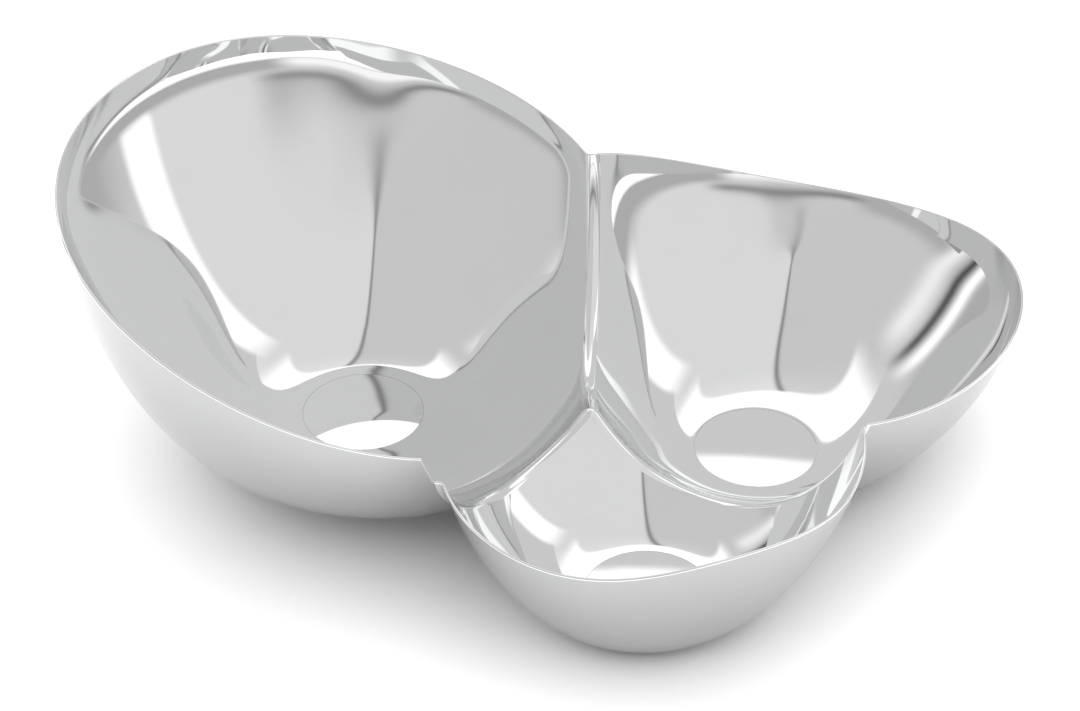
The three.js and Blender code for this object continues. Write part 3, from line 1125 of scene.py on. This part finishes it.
def floor(stage):
    """Wide pale floor, just below the bowl."""
    mesh = bpy.data.meshes.new("studio_floor")
    ways = ((-1, -1), (1, -1), (1, 1), (-1, 1))
    corners = [(x * FLOOR_REACH, y * FLOOR_REACH, FLOOR_HEIGHT) for x, y in ways]
    mesh.from_pydata(corners, [], [(0, 1, 2, 3)])
    material = bpy.data.materials.new("studio_floor")
    material.use_nodes = True
    graph = Graph(material.node_tree)
    pale = graph.node(
        "ShaderNodeBsdfDiffuse", None, {"Color": tuple(stage.floor_colour) + (1.0,)}
    )
    graph.node("ShaderNodeOutputMaterial", None, {"Surface": pale[0]})
    mesh.materials.append(material)
    return place(bpy.data.objects.new("studio_floor", mesh))


def camera(scene, stage):
    """Camera that looks down at the bowl from the front."""
    data = bpy.data.cameras.new("camera")
    data.sensor_width = PICTURE_WIDTH
    data.lens = stage.lens
    data.shift_x = stage.shift_x
    data.shift_y = stage.shift_y
    data.clip_end = CAMERA_REACH
    obj = place(bpy.data.objects.new("camera", data))
    aim = Vector((stage.target_x, stage.target_y, stage.target_z))
    back = Vector((0.0, -math.cos(stage.elevation), math.sin(stage.elevation)))
    obj.location = aim + stage.distance * back
    obj.rotation_euler = (math.pi / 2 - stage.elevation, 0.0, 0.0)
    scene.camera = obj


def world(scene, stage):
    """White and grey studio light that is set by direction alone."""
    scene.world = bpy.data.worlds.new("studio")
    scene.world.use_nodes = True
    graph = Graph(scene.world.node_tree)
    way = graph.node("ShaderNodeTexCoord")["Generated"]
    split = graph.node("ShaderNodeSeparateXYZ", None, {"Vector": way})
    x, y, z = split["X"], split["Y"], split["Z"]
    light = panels_overhead(stage, x, y, z)
    light = wall_behind(light, stage, x, y, z)
    light = low_in_front(light, stage, x, y, z)
    light = at_the_sides(light, stage, x, y, z)
    studio = graph.node(
        "ShaderNodeBackground", None, {"Color": (1.0, 1.0, 1.0, 1.0), "Strength": light}
    )
    graph.node("ShaderNodeOutputWorld", None, {"Surface": studio[0]})


def panels_overhead(stage, x, y, z):
    """Two soft panels side by side, with a dark gap that widens to a funnel low down in front."""
    lean = x.maths("ARCTAN2", x, z)
    step = (stage.right_panel - stage.left_panel) * lean.smooth(*GAP_EDGES)
    light = stage.left_panel + step + BACK_GAIN * y.smooth(*BACK_RISE)
    funnel = z.fall(*FUNNEL_TOP) * y.fall(*FUNNEL_BACK)
    gap = lean.bell(0.0, GAP_WIDTH + FUNNEL_WIDTH * funnel * funnel)
    return light * (1.0 - GAP_DEPTH * gap)


def wall_behind(light, stage, x, y, z):
    """A grey wall behind, with a white strip above it."""
    behind = y.smooth(*WALL_FRONT)
    above = z.smooth(*WALL_TOP)
    light = light.towards(stage.backdrop, behind * (1.0 - above))
    aside = x.maths("ABSOLUTE", x)
    strip = behind * above * z.fall(*STRIP_TOP) * aside.fall(*STRIP_ENDS)
    return light.towards(stage.strip, strip)


def low_in_front(light, stage, x, y, z):
    """Grey low down in front, less so at the right, with a dark line above a white horizon."""
    front = y.fall(*FRONT_BACK) * z.fall(*FRONT_TOP)
    front = front * (1.0 - FRONT_RELIEF * x.smooth(*FRONT_RIGHT))
    light = light.towards(stage.front, front)
    ahead = y.fall(*AHEAD)
    light = light * (1.0 - DARK_LINE_DEPTH * ahead * z.bell(*DARK_LINE))
    return light.towards(HORIZON_LIGHT, ahead * z.fall(*HORIZON_TOP))


def at_the_sides(light, stage, x, y, z):
    """Shade low down on both sides, a white window at the right and narrow bands at the left."""
    light = light.towards(stage.shade, x.fall(*SHADE_RIGHT) * z.fall(*SHADE_TOP))
    window = x.smooth(*WINDOW_LEFT) * y.smooth(*WINDOW_FRONT) * y.fall(*WINDOW_BACK)
    light = light.towards(stage.window, window)
    light = light.towards(stage.shade, x.smooth(*SILL_LEFT) * z.fall(*SILL_TOP))
    left = x.fall(*BANDS_RIGHT)
    light = light.towards(PALE_LIGHT, left * y.bell(*PALE_BAND))
    light = light.towards(stage.window, left * y.bell(*WHITE_BAND))
    return light * (1.0 - DARK_BAND_DEPTH * left * y.bell(*DARK_BAND))


def overhead(stage):
    """Large soft lamp that lights the floor, kept out of the mirror."""
    data = bpy.data.lights.new("overhead_lamp", "AREA")
    data.shape = "RECTANGLE"
    data.size = LAMP_WIDTH
    data.size_y = LAMP_WIDTH
    data.energy = stage.lamp
    lamp = place(bpy.data.objects.new("overhead_lamp", data))
    lamp.location = LAMP_PLACE
    lamp.visible_glossy = False
    lamp.visible_camera = False


class BOWL_PT_panel(bpy.types.Panel):
    """Lists the steps that build the bowl"""

    bl_idname = "BOWL_PT_panel"
    bl_label = "Chip and dip bowl"
    bl_space_type = "VIEW_3D"
    bl_region_type = "UI"
    bl_category = "Bowl"

    def draw(self, context):
        column = self.layout.column(align=True)
        for step in STEPS:
            column.operator(step.bl_idname)
        for group in POINTERS:
            box = self.layout.box()
            settings = getattr(context.scene, group)
            for field in settings.__annotations__:
                box.prop(settings, field)


STEPS = (BOWL_OT_shells, BOWL_OT_ridges, BOWL_OT_discs, BOWL_OT_stage)
POINTERS = {
    "bowl_large": LargeLobeSettings,
    "bowl_medium": MediumLobeSettings,
    "bowl_small": SmallLobeSettings,
    "bowl_sheet": SheetSettings,
    "bowl_stage": StageSettings,
}


def register():
    for group in POINTERS.values():
        bpy.utils.register_class(group)
    for name, group in POINTERS.items():
        setattr(bpy.types.Scene, name, bpy.props.PointerProperty(type=group))
    for step in STEPS:
        bpy.utils.register_class(step)
    bpy.utils.register_class(BOWL_PT_panel)


def unregister():
    bpy.utils.unregister_class(BOWL_PT_panel)
    for step in reversed(STEPS):
        bpy.utils.unregister_class(step)
    for name, group in POINTERS.items():
        delattr(bpy.types.Scene, name)
        bpy.utils.unregister_class(group)


def main():
    register()
    bpy.ops.bowl.shells()
    bpy.ops.bowl.ridges()
    bpy.ops.bowl.discs()
    bpy.ops.bowl.stage()


if __name__ == "__main__":
    main()
